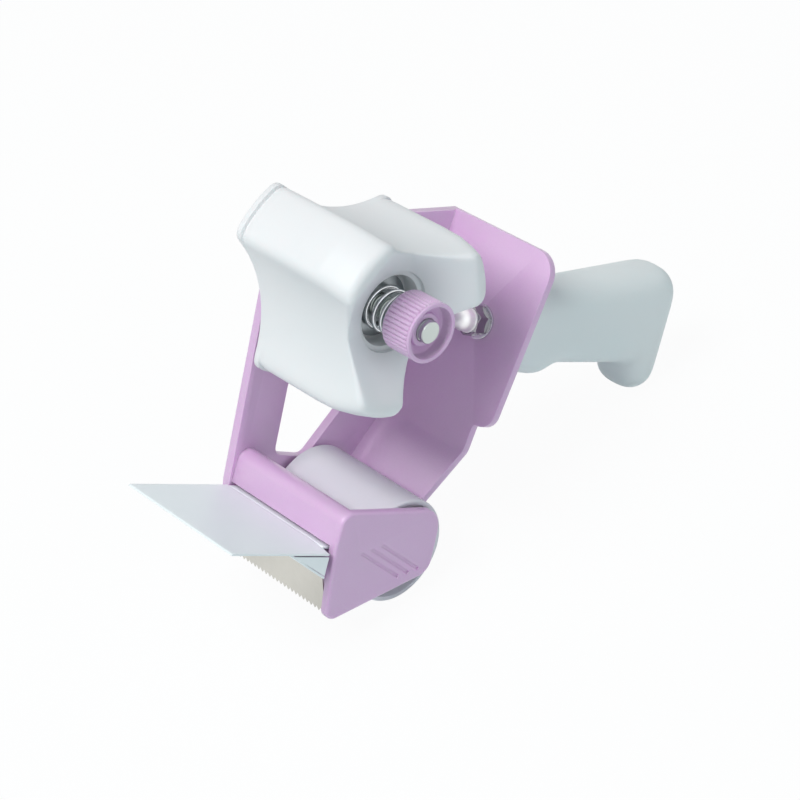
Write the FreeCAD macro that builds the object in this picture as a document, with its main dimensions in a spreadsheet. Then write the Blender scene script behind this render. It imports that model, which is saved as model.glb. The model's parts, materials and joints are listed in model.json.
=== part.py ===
import FreeCAD, Part
import math
import os
import re
import Sketcher

# A hand-held dispenser for 48 mm packing tape on a 76 mm core.
#
# Everything is drawn in the tool's working frame and then tipped back about Y, so that the tool
# stands on its roller and the end of its grip.
#   X  from the cutting end towards the grip
#   Y  along the tape axle; the side plate's inner face is y = 0 and the knob end is -Y
#   Z  up; the back plate is upright
# The origin is on the tape axle, at the side plate's inner face.

Vector = FreeCAD.Vector
doc = FreeCAD.newDocument("tape_dispenser")


# ---------------------------------------------------------------- sizes
SIZES = {
    # how far the whole tool is tipped back to stand on roller and grip, in degrees
    "rest_tilt": 35.85,
    # fits
    "running_gap": 0.06,
    "seat_gap": 0.02,
    "free_gap": 0.3,
    # side plate: its front arm leans, so an edge's x is arm_front minus arm_lean times z
    "plate_thick": 3.5,
    "arm_front": -14.3,
    "arm_lean": 0.2,
    "arm_width": 19.6,
    "crown_height": 12.6,
    "crown_round": 14,
    "window_top": -40,
    "window_low": -70.7,
    "window_back_top": 50.8,
    "window_back_low": 35.4,
    "window_round": 4,
    # back plate, with its lower half bent forwards
    "back_face": 67.2,
    "back_thick": 3,
    "back_top": 28.3,
    "back_width": 50.5,
    "back_low_width": "=back_width - low_inset",
    "low_inset": 1.8,
    "bend_height": -48.5,
    "foot_face": 58.7,
    "foot_low": -69.3,
    "foot_thick_x": 2.78,
    "foot_thick_z": 1.13,
    "bend_drop": 0.59,
    "step_height": -38,
    "step_width": "=back_low_width - step_inset",
    "step_inset": 7.5,
    "foot_width": "=step_width - foot_inset",
    "foot_inset": 3.2,
    "bend_round": 7,
    "bend_round_out": 10,
    "notch_round": 1.5,
    "plate_round": 9,
    "step_round": 6,
    "edge_round": 0.8,
    # cutting head: both cheeks share one outline
    "cheek_outside": "=blade_length + 2 * blade_side_gap + cheek_thick",
    "cheek_thick": 3,
    "cheek_top_back": -65.9,
    "cheek_back_top": 51.2,
    "cheek_back_low": 56,
    "cheek_heel": -89.5,
    "brow_x": 3.3,
    "tip_x": 11.9,
    "tip_low": -110,
    "tip_round": 4.5,
    "cheek_round": 9,
    "heel_round": 6,
    "cheek_edge_round": 1.2,
    "bar_front": 2,
    "bar_back": 11,
    "bar_top": -68.8,
    "bar_low": -81.8,
    "bar_round": 4.4,
    "bar_back_round": 3.8,
    "groove_x": 17.4,
    "groove_z": -82.6,
    "groove_length": 24.6,
    "groove_wide": 1.3,
    "groove_depth": 0.6,
    "groove_fall": 20,
    "groove_step_x": 4.45,
    "groove_step_z": 1.6,
    # blade carrier, blade and clear strips
    "carrier_back": 11,
    "carrier_step_x": 6.1,
    "carrier_face": 3.9,
    "carrier_step_z": -85.75,
    "blade_lean": 30.6,
    "blade_top_x": 5.6,
    "blade_top_z": -93.4,
    "blade_thick": 0.6,
    "blade_height": 16.8,
    "blade_length": 51,
    "blade_side_gap": 0.4,
    "tooth_pitch": 2,
    "tooth_depth": 1.9,
    "carrier_seat_length": 13,
    "carrier_wall": 3,
    "flap_front": -44.2,
    "flap_front_z": -84.8,
    "flap_hinge_z": -83.1,
    "flap_thick": 0.8,
    "flap_side_gap": 0.3,
    "flap_hinge_x": 5.3,
    "flap_bead": 0.6,
    "flap_shoulder": 2.2,
    "tongue_side_gap": 1,
    "prop_front": -16.5,
    "prop_low": -93.15,
    "prop_thick": 0.85,
    # pressure roller
    "roller_x": 42,
    "roller_z": -84.1,
    "roller_radius": 19.5,
    "roller_wall": 1.9,
    "roller_far": 2,
    "roller_near": "=cheek_outside - cheek_thick - roller_play",
    "roller_play": 1.8,
    "bush_depth": 3.5,
    "bush_thick": 3,
    "bush_hub": 5.5,
    "pin_radius": 3,
    "pin_seat": 5.5,
    "pin_seat_thick": 1.5,
    "pin_bury": 1.6,
    "clip_radius": 5,
    "clip_thick": 1.2,
    # tape hub
    "core_radius": 38,
    "lip_radius": "=core_radius + 0.8",
    "lip_width": 2.2,
    "hub_far": 3,
    "hub_taper": 42.5,
    "hub_near": 56,
    "hub_tip_radius": "=core_radius - 4.3",
    "hub_face_radius": 29,
    "taper_round": 24,
    "collar_radius": 14.6,
    "collar_depth": 46.1,
    "well_radius": 12.6,
    "well_mouth": 44.8,
    "well_floor": 38,
    "valley_depth": 21.3,
    "deep_valley": 18,
    "valley_radius": 50,
    "lobe_lean": 153,
    "lobe_round": 3.5,
    "hub_hollow_in": 10.2,
    "hub_hollow_out": 14.2,
    "hub_hollow_end": 34,
    "sleeve_radius": 6.5,
    "nut_well_radius": 9.6,
    "nut_well_end": 7.6,
    # axle and brake
    "axle_radius": 4,
    "axle_end": 64.2,
    "axle_across": 13,
    "axle_head": 5.3,
    "axle_washer_radius": 8,
    "axle_washer_thick": 1.4,
    "boss_radius": 9,
    "boss_height": 1,
    "axle_nut_thick": 5,
    "disc_radius": 11,
    "disc_thick": 1.4,
    "spring_mean": 7.4,
    "spring_wire": 0.75,
    "spring_pitch": 3.7,
    "thrust_radius": 9.6,
    "thrust_thick": 1,
    "thrust_face": 50.9,
    "knob_radius": 10.6,
    "knob_far": 51.9,
    "knob_near": 64.6,
    "knob_floor": 58.4,
    "knob_wall": 1.5,
    "knob_boss": 6,
    "knob_boss_end": 61.6,
    "web_thick": 1.2,
    "rib_depth": 0.45,
    "rib_cutter": 0.55,
    "rib_count": 40,
    "knob_nut_thick": 5,
    # grip and its fastener
    "grip_y": 28,
    "grip_z": -4.2,
    "grip_half_width": 11.5,
    "grip_top_front": 8.3,
    "grip_top_back": 30.8,
    "grip_crest_x": 162.2,
    "grip_end_x": 170.3,
    "grip_end_low": -21.4,
    "grip_hook_x": 151.2,
    "grip_palm_back_x": 149.8,
    "grip_palm_back_z": -11.5,
    "grip_palm_front_x": 107.5,
    "grip_palm_front_z": -15,
    "grip_guard_back_x": 100,
    "grip_guard_low": -20.3,
    "grip_guard_front_x": 86,
    "grip_root_x": 78,
    "grip_root_low": -14.5,
    "grip_crest_round": 12.5,
    "grip_end_round": 9.3,
    "grip_palm_round": 1,
    "grip_root_round": 6,
    "grip_guard_round": 9.6,
    "grip_edge_round": 9,
    "bolt_radius": 3,
    "bolt_bury": 28,
    "bolt_across": 10,
    "nut_hex_height": 6,
    "nut_dome_height": 6.6,
    "nut_dome_radius": 4.1,
    "nut_dome_round": 3.6,
    "bolt_washer_radius": 6.4,
    "bolt_washer_thick": 1,
    # screws that hold the head to the side plate
    "screw_radius": 1.5,
    "screw_head": 2.9,
    "screw_head_thick": 1.9,
    "screw_bury": 12,
    "bar_screw_x": 6.5,
    "bar_screw_z": -75,
    "carrier_screw_x": 8.6,
    "carrier_screw_z": -87,
}

sheet = doc.addObject("Spreadsheet::Sheet", "sizes")
for row, (alias, size) in enumerate(SIZES.items(), start=1):
    sheet.set(f"A{row}", alias.replace("_", " "))
    sheet.set(f"B{row}", str(size))
    sheet.setAlias(f"B{row}", alias)
doc.recompute()


def size(alias):
    """A size as a plain number."""
    return sheet.get(alias)


# ---------------------------------------------------------------- how a piece is drawn
def bound(formula):
    """A formula on the sheet's aliases, in the form that setExpression reads."""
    return re.sub(r"\b(?!sin\b|cos\b)[a-z][a-z_]+", lambda word: f"sizes.{word.group()}", str(formula))


def bind(target, prop, formula):
    target.setExpression(prop, bound(formula))


def tip_back(piece):
    """Turn a finished piece about the tape axle into the standing position."""
    piece.Placement = FreeCAD.Placement(Vector(), FreeCAD.Rotation(Vector(0, 1, 0), size("rest_tilt")))
    piece.setExpression("Placement.Rotation.Angle", "sizes.rest_tilt * 1 deg")


pieces = []


def new_body(node):
    body = doc.addObject("PartDesign::Body", node)
    body.Label = node
    pieces.append(body)
    return body


def new_sketch(body, role, offset=(0, 0, 0)):
    """A sketch on one of the body's own origin planes, moved by the offset in the plane's own axes."""
    sketch = body.newObject("Sketcher::SketchObject", f"{body.Name}_sketch")
    plane = [feature for feature in body.Origin.OriginFeatures if feature.Role == role][0]
    sketch.AttachmentSupport = [(plane, "")]
    sketch.MapMode = "FlatFace"
    for axis, formula in zip("xyz", offset):
        if formula != 0:
            bind(sketch, f"AttachmentOffset.Base.{axis}", formula)
    return sketch


def settle(feature):
    """Recompute, and stop at once where a feature has failed."""
    doc.recompute()
    if not feature.isValid() or feature.Shape.isNull():
        raise RuntimeError(f"{feature.Name} failed: {feature.getStatusString()}")
    return feature


def hold(sketch, constraint, formula):
    """Add a constraint and bind its size to a sheet formula."""
    number = sketch.addConstraint(constraint)
    name = f"size_{number}_{sketch.GeometryCount}"
    sketch.renameConstraint(number, name)
    bind(sketch, f"Constraints.{name}", formula)


def place_point(sketch, geometry, end, across, along):
    """Hold one end or centre of a sketch element at two sheet formulas."""
    hold(sketch, Sketcher.Constraint("DistanceX", -1, 1, geometry, end, 1.0), across)
    hold(sketch, Sketcher.Constraint("DistanceY", -1, 1, geometry, end, 1.0), along)


def draw_outline(sketch, corners):
    """A closed polygon. A corner is a pair of sheet formulas, and an alias after them rounds it."""
    first = sketch.GeometryCount
    total = len(corners)
    turns = [math.tau * step / total for step in range(total + 1)]
    rough = [Vector(10 * math.cos(turn), 10 * math.sin(turn), 0) for turn in turns]
    for start, stop in zip(rough[:-1], rough[1:]):
        sketch.addGeometry(Part.LineSegment(start, stop), False)
    for step in range(total):
        following = first + (step + 1) % total
        sketch.addConstraint(Sketcher.Constraint("Coincident", first + step, 2, following, 1))
    for step, corner in enumerate(corners):
        place_point(sketch, first + step, 1, *corner[:2])
    sketch.recompute()
    for step, corner in enumerate(corners):
        for radius in corner[2:]:
            arc = sketch.GeometryCount
            sketch.fillet(first + step, 1, size(radius), True, True)
            hold(sketch, Sketcher.Constraint("Radius", arc, size(radius)), radius)


def draw_circle(sketch, across, along, radius):
    circle = sketch.addGeometry(Part.Circle(Vector(1, 1, 0), Vector(0, 0, 1), 1), False)
    place_point(sketch, circle, 3, across, along)
    hold(sketch, Sketcher.Constraint("Radius", circle, 1.0), radius)


def draw_hexagon(sketch, across, along, flats):
    """A hexagon with two flats level, given by its width across flats."""
    corners = []
    for step in range(6):
        turn = math.radians(60 * step)
        reach = [round(part / math.sqrt(3), 6) for part in (math.cos(turn), math.sin(turn))]
        corners.append((f"{across} + ({flats}) * ({reach[0]})", f"{along} + ({flats}) * ({reach[1]})"))
    draw_outline(sketch, corners)


def pad(sketch, length, backwards=False, middle=False):
    """Give a sketch thickness. On the XZ plane the way forwards is -Y."""
    body = sketch.getParentGeoFeatureGroup()
    feature = body.newObject("PartDesign::Pad", f"{body.Name}_pad")
    feature.Profile = sketch
    bind(feature, "Length", length)
    feature.Reversed = backwards
    feature.Midplane = middle
    return settle(feature)


def pocket(sketch, length, backwards=False):
    """Cut a sketch into the body. On the XZ plane the way it cuts unreversed is +Y."""
    body = sketch.getParentGeoFeatureGroup()
    before = body.Shape.Volume
    feature = body.newObject("PartDesign::Pocket", f"{body.Name}_pocket")
    feature.Profile = sketch
    bind(feature, "Length", length)
    feature.Reversed = backwards
    settle(feature)
    if not feature.Shape.Volume < before - 0.01:
        raise RuntimeError(f"{feature.Name} cuts nothing")
    return feature


def revolve(sketch, axis="V_Axis"):
    body = sketch.getParentGeoFeatureGroup()
    feature = body.newObject("PartDesign::Revolution", f"{body.Name}_turned")
    feature.Profile = sketch
    feature.ReferenceAxis = (sketch, [axis])
    feature.Angle = 360
    return settle(feature)


def repeat_around(feature, count):
    """Repeat a feature round the body's Y axis."""
    body = feature.getParentGeoFeatureGroup()
    axis = [line for line in body.Origin.OriginFeatures if line.Role == "Y_Axis"][0]
    pattern = body.newObject("PartDesign::PolarPattern", f"{body.Name}_ring")
    pattern.Originals = [feature]
    pattern.Axis = (axis, [""])
    pattern.Angle = 360
    bind(pattern, "Occurrences", count)
    body.Tip = pattern
    return settle(pattern)


def round_edges(body, radius, wanted):
    """Fillet the edges for which wanted(edge) holds."""
    base = body.Tip
    names = [f"Edge{n}" for n, edge in enumerate(base.Shape.Edges, start=1) if wanted(edge)]
    if not names:
        raise RuntimeError(f"{body.Name}: no edge to round")
    fillet = body.newObject("PartDesign::Fillet", f"{body.Name}_fillet")
    fillet.Base = (base, names)
    bind(fillet, "Radius", radius)
    return settle(fillet)


def along_y_at(places):
    """A test for straight edges along Y through one of the (x, z) places, given as pairs of aliases."""
    spots = [tuple(size(alias) for alias in place) for place in places]

    def test(edge):
        box = edge.BoundBox
        return max(box.XLength, box.ZLength) < 0.01 and any(
            math.dist((box.XMin, box.ZMin), spot) < 0.01 for spot in spots)
    return test


def on_level(axis, level, reach=0.01):
    """A test for edges that lie wholly in the plane where the axis has the given value."""
    low, high = f"{axis.upper()}Min", f"{axis.upper()}Max"
    def test(edge):
        box = edge.BoundBox
        return abs(getattr(box, low) - level) < reach and abs(getattr(box, high) - level) < reach
    return test


def turned(node, profile, centre=(0, 0)):
    """A round piece about a line along Y through the centre (x, z); profile corners are (radius, y)."""
    body = new_body(node)
    sketch = new_sketch(body, "XY_Plane", (centre[0], 0, centre[1]))
    draw_outline(sketch, profile)
    revolve(sketch)
    return body


def ring(node, inner, outer, near, far, centre=(0, 0)):
    """A plain ring or, with no inner radius, a plain disc between two distances from the side plate."""
    return turned(node, [(inner, near), (outer, near), (outer, far), (inner, far)], centre)


# ---------------------------------------------------------------- frame: side plate and back plate
ARM = "arm_front - arm_lean * ({z})"
BACK_OUT = "back_face + back_thick"
BEND_OUT = (BACK_OUT, "bend_height - bend_drop", "bend_round_out")
FOOT_OUT = ("foot_face + foot_thick_x", "foot_low - foot_thick_z")
HEAD_TAIL = [
    ("cheek_back_low", "cheek_heel", "heel_round"),
    ("tip_x", "tip_low", "tip_round"),
]


def make_frame():
    """Side plate, back plate and its bent foot, moulded as one."""
    body = new_body("frame")
    side = new_sketch(body, "XZ_Plane")
    draw_outline(side, [
        (ARM.format(z="crown_height"), "crown_height", "crown_round"),
        (BACK_OUT, "back_top"),
        BEND_OUT,
        FOOT_OUT,
        *HEAD_TAIL,
        ("brow_x - 1", "bar_low"),
    ])
    pad(side, "plate_thick", backwards=True)

    back = new_sketch(body, "XZ_Plane")
    draw_outline(back, [
        ("back_face", "back_top"),
        (BACK_OUT, "back_top"),
        BEND_OUT,
        FOOT_OUT,
        ("foot_face", "foot_low"),
        ("back_face", "bend_height", "bend_round"),
    ])
    pad(back, "back_width")

    boss = new_sketch(body, "XZ_Plane")
    draw_circle(boss, 0, 0, "boss_radius")
    pad(boss, "boss_height")

    window = new_sketch(body, "XZ_Plane")
    draw_outline(window, [
        (ARM.format(z="window_top") + " + arm_width", "window_top", "window_round"),
        ("window_back_top", "window_top", "window_round"),
        ("window_back_low", "window_low", "window_round"),
        (ARM.format(z="window_low") + " + arm_width", "window_low", "window_round"),
    ])
    pocket(window, "plate_thick")

    holes = new_sketch(body, "XZ_Plane", (0, 0, "boss_height"))
    draw_circle(holes, 0, 0, "axle_radius + seat_gap")
    draw_circle(holes, "roller_x", "roller_z", "pin_radius + seat_gap")
    draw_circle(holes, "bar_screw_x", "bar_screw_z", "screw_radius + seat_gap")
    draw_circle(holes, "carrier_screw_x", "carrier_screw_z", "screw_radius + seat_gap")
    pocket(holes, "plate_thick + boss_height")

    bolt = new_sketch(body, "YZ_Plane", (0, 0, "back_face"))
    draw_circle(bolt, "-grip_y", "grip_z", "bolt_radius + seat_gap")
    pocket(bolt, "back_thick", backwards=True)

    # what is left of the back plate's near edge: a broad upper part, a step, and a tapered foot
    trim = new_sketch(body, "YZ_Plane", (0, 0, "foot_face - 10"))
    draw_outline(trim, [
        ("-back_width + plate_round * 2", "back_top + 5"),
        ("-back_width - 5", "back_top + 5"),
        ("-back_width - 5", "foot_low - 10"),
        ("-foot_width + 0.5", "foot_low - 10"),
        ("-foot_width", "foot_low"),
        ("-step_width", "bend_height", "plate_round"),
        ("-step_width", "step_height", "notch_round"),
        ("-back_low_width", "step_height", "step_round"),
        ("-back_width", "back_top", "plate_round"),
        ("-back_width + plate_round * 2", "back_top"),
    ])
    pocket(trim, 40, backwards=True)
    return body


# ---------------------------------------------------------------- cutting head
def make_head_guard():
    """The round-topped bar across the front and the near cheek, moulded as one."""
    body = new_body("head_guard")
    bar = new_sketch(body, "XZ_Plane")
    draw_outline(bar, [
        ("bar_front", "bar_top", "bar_round"),
        ("bar_back", "bar_top", "bar_back_round"),
        ("bar_back", "bar_low"),
        ("brow_x", "bar_low"),
    ])
    pad(bar, "cheek_outside - cheek_thick")
    cheek = new_sketch(body, "XZ_Plane", (0, 0, "cheek_outside - cheek_thick"))
    draw_outline(cheek, [
        ("bar_front", "bar_top", "bar_round"),
        ("cheek_back_top", "cheek_top_back", "cheek_round"),
        *HEAD_TAIL,
        ("brow_x", "bar_low"),
    ])
    pad(cheek, "cheek_thick")
    round_edges(body, "cheek_edge_round", on_level("y", -size("cheek_outside")))

    seat = new_sketch(body, "XZ_Plane", (0, 0, "cheek_outside - cheek_thick - pin_seat_thick"))
    draw_circle(seat, "roller_x", "roller_z", "pin_seat")
    pad(seat, "pin_seat_thick")
    socket = new_sketch(body, "XZ_Plane", (0, 0, "cheek_outside - cheek_thick + pin_bury"))
    draw_circle(socket, "roller_x", "roller_z", "pin_radius + seat_gap")
    pocket(socket, "pin_bury + pin_seat_thick")
    screw = new_sketch(body, "XZ_Plane", (0, 0, "screw_bury"))
    draw_circle(screw, "bar_screw_x", "bar_screw_z", "screw_radius + seat_gap")
    pocket(screw, "screw_bury")

    grooves = new_sketch(body, "XZ_Plane", (0, 0, "cheek_outside"))
    along = ("groove_length * cos(groove_fall)", "groove_length * sin(groove_fall)")
    across = ("groove_wide * sin(groove_fall)", "groove_wide * cos(groove_fall)")
    for step in range(3):
        start = (f"groove_x + groove_step_x * {step}", f"groove_z + groove_step_z * {step}")
        draw_outline(grooves, [
            start,
            (f"{start[0]} + {along[0]}", f"{start[1]} - {along[1]}"),
            (f"{start[0]} + {along[0]} - {across[0]}", f"{start[1]} - {along[1]} - {across[1]}"),
            (f"{start[0]} - {across[0]}", f"{start[1]} - {across[1]}"),
        ])
    pocket(grooves, "groove_depth")


def make_blade_carrier():
    """The cross member behind the slot: the strips and the blade are carried on its front."""
    body = new_body("blade_carrier")
    section = new_sketch(body, "XZ_Plane")
    run = ("carrier_seat_length * sin(blade_lean)", "carrier_seat_length * cos(blade_lean)")
    seat_x = "blade_top_x + blade_thick * cos(blade_lean)"
    seat_z = "blade_top_z + blade_thick * sin(blade_lean)"
    wall = ("carrier_wall * cos(blade_lean)", "carrier_wall * sin(blade_lean)")
    draw_outline(section, [
        ("carrier_step_x", "bar_low"),
        ("carrier_back", "bar_low"),
        ("carrier_back", "blade_top_z"),
        (f"{seat_x} + {run[0]} + {wall[0]}", f"{seat_z} - {run[1]} + {wall[1]}"),
        (f"{seat_x} + {run[0]}", f"{seat_z} - {run[1]}"),
        (seat_x, seat_z),
        ("carrier_face", "prop_low"),
        ("carrier_face", "carrier_step_z"),
        ("carrier_step_x", "carrier_step_z"),
    ])
    pad(section, "cheek_outside - cheek_thick")
    screw = new_sketch(body, "XZ_Plane", (0, 0, "screw_bury"))
    draw_circle(screw, "carrier_screw_x", "carrier_screw_z", "screw_radius + seat_gap")
    pocket(screw, "screw_bury")


def make_blade():
    """Drawn hanging straight down from its top edge at the origin, then leaned and moved to its seat."""
    body = new_body("blade")
    strip = new_sketch(body, "YZ_Plane")
    draw_outline(strip, [
        ("-blade_side_gap", 0),
        ("-blade_side_gap - blade_length", 0),
        ("-blade_side_gap - blade_length", "-blade_height"),
        ("-blade_side_gap", "-blade_height"),
    ])
    pad(strip, "blade_thick")
    notch = new_sketch(body, "YZ_Plane")
    draw_outline(notch, [
        ("-blade_side_gap - tooth_pitch * 0.02", "-blade_height - 0.1"),
        ("-blade_side_gap - tooth_pitch * 0.98", "-blade_height - 0.1"),
        ("-blade_side_gap - tooth_pitch / 2", "-blade_height + tooth_depth"),
    ])
    teeth = body.newObject("PartDesign::LinearPattern", "blade_teeth")
    teeth.Originals = [pocket(notch, "blade_thick", backwards=True)]
    teeth.Direction = (notch, ["H_Axis"])
    teeth.Reversed = True
    bind(teeth, "Occurrences", "blade_length / tooth_pitch - 0.5")
    bind(teeth, "Length", "blade_length - 1.5 * tooth_pitch")
    body.Tip = teeth
    settle(teeth)
    return body


def lean_blade(body):
    """Place the blade on its seat and tip it back with the rest of the tool."""
    body.Placement = FreeCAD.Placement(Vector(0, 0, 0), FreeCAD.Rotation(Vector(0, 1, 0), 1))
    body.setExpression("Placement.Rotation.Angle", f"({bound('rest_tilt - blade_lean')}) * 1 deg")
    bind(body, "Placement.Base.x", "blade_top_x * cos(rest_tilt) + blade_top_z * sin(rest_tilt)")
    bind(body, "Placement.Base.z", "blade_top_z * cos(rest_tilt) - blade_top_x * sin(rest_tilt)")


def make_wiper_flap():
    """The clear strip that presses the tape down, with a round bead along its hinge edge."""
    body = new_body("wiper_flap")
    section = new_sketch(body, "XZ_Plane", (0, 0, "flap_side_gap"))
    draw_outline(section, [
        ("flap_front", "flap_front_z - flap_thick / 2"),
        ("flap_front", "flap_front_z + flap_thick / 2"),
        ("flap_hinge_x", "flap_hinge_z + flap_thick / 2"),
        ("flap_hinge_x", "flap_hinge_z - flap_thick / 2"),
    ])
    pad(section, "cheek_outside - flap_side_gap")
    tongue_near = "tongue_side_gap + cheek_thick - cheek_outside"
    for inner, outer in (("-tongue_side_gap", "flap_side_gap"), (tongue_near, "-cheek_outside - flap_side_gap")):
        notch = new_sketch(body, "XY_Plane", (0, 0, "flap_front_z - 2 * flap_thick"))
        draw_outline(notch, [
            ("flap_shoulder", inner),
            ("flap_hinge_x + flap_bead", inner),
            ("flap_hinge_x + flap_bead", outer),
            ("flap_shoulder", outer),
        ])
        pocket(notch, "flap_hinge_z - flap_front_z + 4 * flap_thick", backwards=True)
    bead = new_sketch(body, "XZ_Plane", (0, 0, "tongue_side_gap"))
    draw_circle(bead, "flap_hinge_x", "flap_hinge_z", "flap_bead")
    pad(bead, "cheek_outside - cheek_thick - 2 * tongue_side_gap")
    far, near = -size("flap_side_gap"), -size("cheek_outside")
    front = size("flap_front")
    upright = [(front, far), (front, near)]
    round_edges(body, "flap_thick", lambda edge: edge.Length < 1.5 * size("flap_thick") and any(
        math.dist((edge.BoundBox.XMin, edge.BoundBox.YMin), place) < 0.05 for place in upright))


def make_flap_prop():
    """The short clear strip below the wiper: a slanted leaf with a web at each end."""
    body = new_body("flap_prop")
    rise = "(flap_hinge_z - flap_front_z) * (prop_front - flap_front) / (flap_hinge_x - flap_front)"
    under = f"flap_front_z + {rise} - flap_thick / 2 - free_gap"
    leaf = new_sketch(body, "XZ_Plane", (0, 0, "flap_side_gap"))
    draw_outline(leaf, [
        ("prop_front", under),
        ("prop_front + 2 * prop_thick", under),
        ("carrier_face", "prop_low + prop_thick"),
        ("carrier_face", "prop_low"),
    ])
    pad(leaf, "cheek_outside - 2 * flap_side_gap")
    for offset in ("flap_side_gap", "cheek_outside - flap_side_gap - prop_thick"):
        web = new_sketch(body, "XZ_Plane", (0, 0, offset))
        draw_outline(web, [
            ("prop_front + 2 * prop_thick", under),
            ("carrier_face", under),
            ("carrier_face", "prop_low + prop_thick"),
        ])
        pad(web, "prop_thick")


def make_screws():
    """Two alike: one into the end of the bar, one into the end of the blade carrier."""
    body = new_body("head_screws")
    places = [("bar_screw_x", "bar_screw_z"), ("carrier_screw_x", "carrier_screw_z")]
    shanks = new_sketch(body, "XZ_Plane", (0, 0, "-plate_thick"))
    for place in places:
        draw_circle(shanks, *place, "screw_radius")
    pad(shanks, "plate_thick + screw_bury - free_gap")
    heads = new_sketch(body, "XZ_Plane", (0, 0, "-plate_thick - screw_head_thick"))
    for place in places:
        draw_circle(heads, *place, "screw_head")
    pad(heads, "screw_head_thick")


# ---------------------------------------------------------------- pressure roller
ROLLER = ("roller_x", "roller_z")


def make_roller():
    ring("roller_tube", "roller_radius - roller_wall", "roller_radius", "-roller_near", "-roller_far", ROLLER)
    around = math.tau * size("roller_radius")
    round_edges(pieces[-1], "edge_round", lambda edge: abs(edge.Length - around) < 0.1)
    inside = "roller_radius - roller_wall - seat_gap"
    bore = "pin_radius + running_gap"
    for node, out, into in (("roller_bush_near", "-roller_near", 1), ("roller_bush_far", "-roller_far", -1)):
        turned(node, [
            (bore, out),
            ("bush_hub", out),
            ("bush_hub", f"{out} + bush_depth * ({into})"),
            (inside, f"{out} + bush_depth * ({into})"),
            (inside, f"{out} + (bush_depth + bush_thick) * ({into})"),
            (bore, f"{out} + (bush_depth + bush_thick) * ({into})"),
        ], ROLLER)
    ring("roller_pin", 0, "pin_radius",
         "cheek_thick - cheek_outside - pin_bury", "plate_thick + 2 * clip_thick", ROLLER)
    ring("roller_clip", "pin_radius + seat_gap", "clip_radius",
         "plate_thick", "plate_thick + clip_thick", ROLLER)


# ---------------------------------------------------------------- tape hub
def make_hub():
    """A turned blank, three hollows down its sides, and cavities open to the side plate."""
    body = new_body("hub")
    blank = new_sketch(body, "XY_Plane")
    draw_outline(blank, [
        ("sleeve_radius + seat_gap", "-hub_far"),
        ("lip_radius", "-hub_far"),
        ("lip_radius", "-hub_far - lip_width"),
        ("core_radius", "-hub_far - lip_width"),
        ("core_radius", "-hub_taper"),
        ("hub_tip_radius", "-hub_near"),
        ("hub_face_radius", "-hub_near"),
        ("collar_radius", "-collar_depth"),
        ("well_radius", "-well_mouth"),
        ("well_radius", "-well_floor"),
        ("sleeve_radius + seat_gap", "-well_floor"),
    ])
    revolve(blank)
    taper = size("hub_taper")
    round_edges(body, "taper_round", on_level("y", -taper))

    valley = new_sketch(body, "XZ_Plane")
    for turn, depth in ((60, "valley_depth"), (180, "deep_valley"), (300, "valley_depth")):
        reach = f"({depth} + valley_radius)"
        draw_circle(valley, f"{reach} * cos(lobe_lean - {turn})", f"{reach} * sin(lobe_lean - {turn})",
                    "valley_radius")
    pocket(valley, "hub_near + 1", backwards=True)
    round_edges(body, "lobe_round", lambda edge: isinstance(edge.Curve, Part.Line)
                and edge.BoundBox.YLength > size("hub_taper") / 2)

    hollow = new_sketch(body, "XZ_Plane", (0, 0, "hub_far"))
    draw_circle(hollow, 0, 0, "hub_hollow_out")
    draw_circle(hollow, 0, 0, "hub_hollow_in")
    pocket(hollow, "hub_hollow_end - hub_far", backwards=True)
    well = new_sketch(body, "XZ_Plane", (0, 0, "hub_far"))
    draw_circle(well, 0, 0, "nut_well_radius")
    pocket(well, "nut_well_end - hub_far", backwards=True)


def make_hub_sleeve():
    ring("hub_sleeve", "axle_radius + running_gap", "sleeve_radius", "-well_floor", "-nut_well_end")


# ---------------------------------------------------------------- axle and tape brake
def make_axle():
    """A hexagon-headed bolt from the outside of the side plate, locked by a thin nut inside it."""
    body = new_body("tape_axle")
    head_face = "plate_thick + axle_washer_thick"
    head = new_sketch(body, "XZ_Plane", (0, 0, f"-({head_face}) - axle_head"))
    draw_hexagon(head, 0, 0, "axle_across")
    pad(head, "axle_head")
    shank = new_sketch(body, "XZ_Plane", (0, 0, f"-({head_face})"))
    draw_circle(shank, 0, 0, "axle_radius")
    pad(shank, f"{head_face} + axle_end")
    round_edges(body, "edge_round", on_level("y", -size("axle_end")))
    ring("axle_washer", "axle_radius + seat_gap", "axle_washer_radius", "plate_thick", head_face)
    nut = new_body("axle_nut")
    section = new_sketch(nut, "XZ_Plane", (0, 0, "boss_height"))
    draw_hexagon(section, 0, 0, "axle_across")
    draw_circle(section, 0, 0, "axle_radius + seat_gap")
    pad(section, "axle_nut_thick")


def make_brake():
    """A steel disc in the hub's well, a coil spring, and a thrust washer under the knob."""
    ring("brake_disc", "axle_radius + running_gap", "disc_radius", "-well_floor - disc_thick", "-well_floor")
    ring("thrust_washer", "axle_radius + running_gap", "thrust_radius", "-thrust_face - thrust_thick",
         "-thrust_face")

    start = "well_floor + disc_thick + spring_wire"
    helix = doc.addObject("Part::Helix", "spring_path")
    bind(helix, "Pitch", "spring_pitch")
    bind(helix, "Height", f"thrust_face - spring_wire - ({start})")
    bind(helix, "Radius", "spring_mean")
    helix.Placement = FreeCAD.Placement(Vector(0, 0, 0), FreeCAD.Rotation(Vector(1, 0, 0), 90))
    bind(helix, "Placement.Base.y", f"-({start})")
    wire = doc.addObject("Part::Circle", "spring_wire_section")
    bind(wire, "Radius", "spring_wire")
    bind(wire, "Placement.Base.x", "spring_mean")
    bind(wire, "Placement.Base.y", f"-({start})")
    spring = doc.addObject("Part::Sweep", "brake_spring")
    spring.Label = "brake_spring"
    spring.Sections = [wire]
    spring.Spine = (helix, [])
    spring.Solid = True
    spring.Frenet = True
    settle(spring)
    pieces.append(spring)


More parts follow.
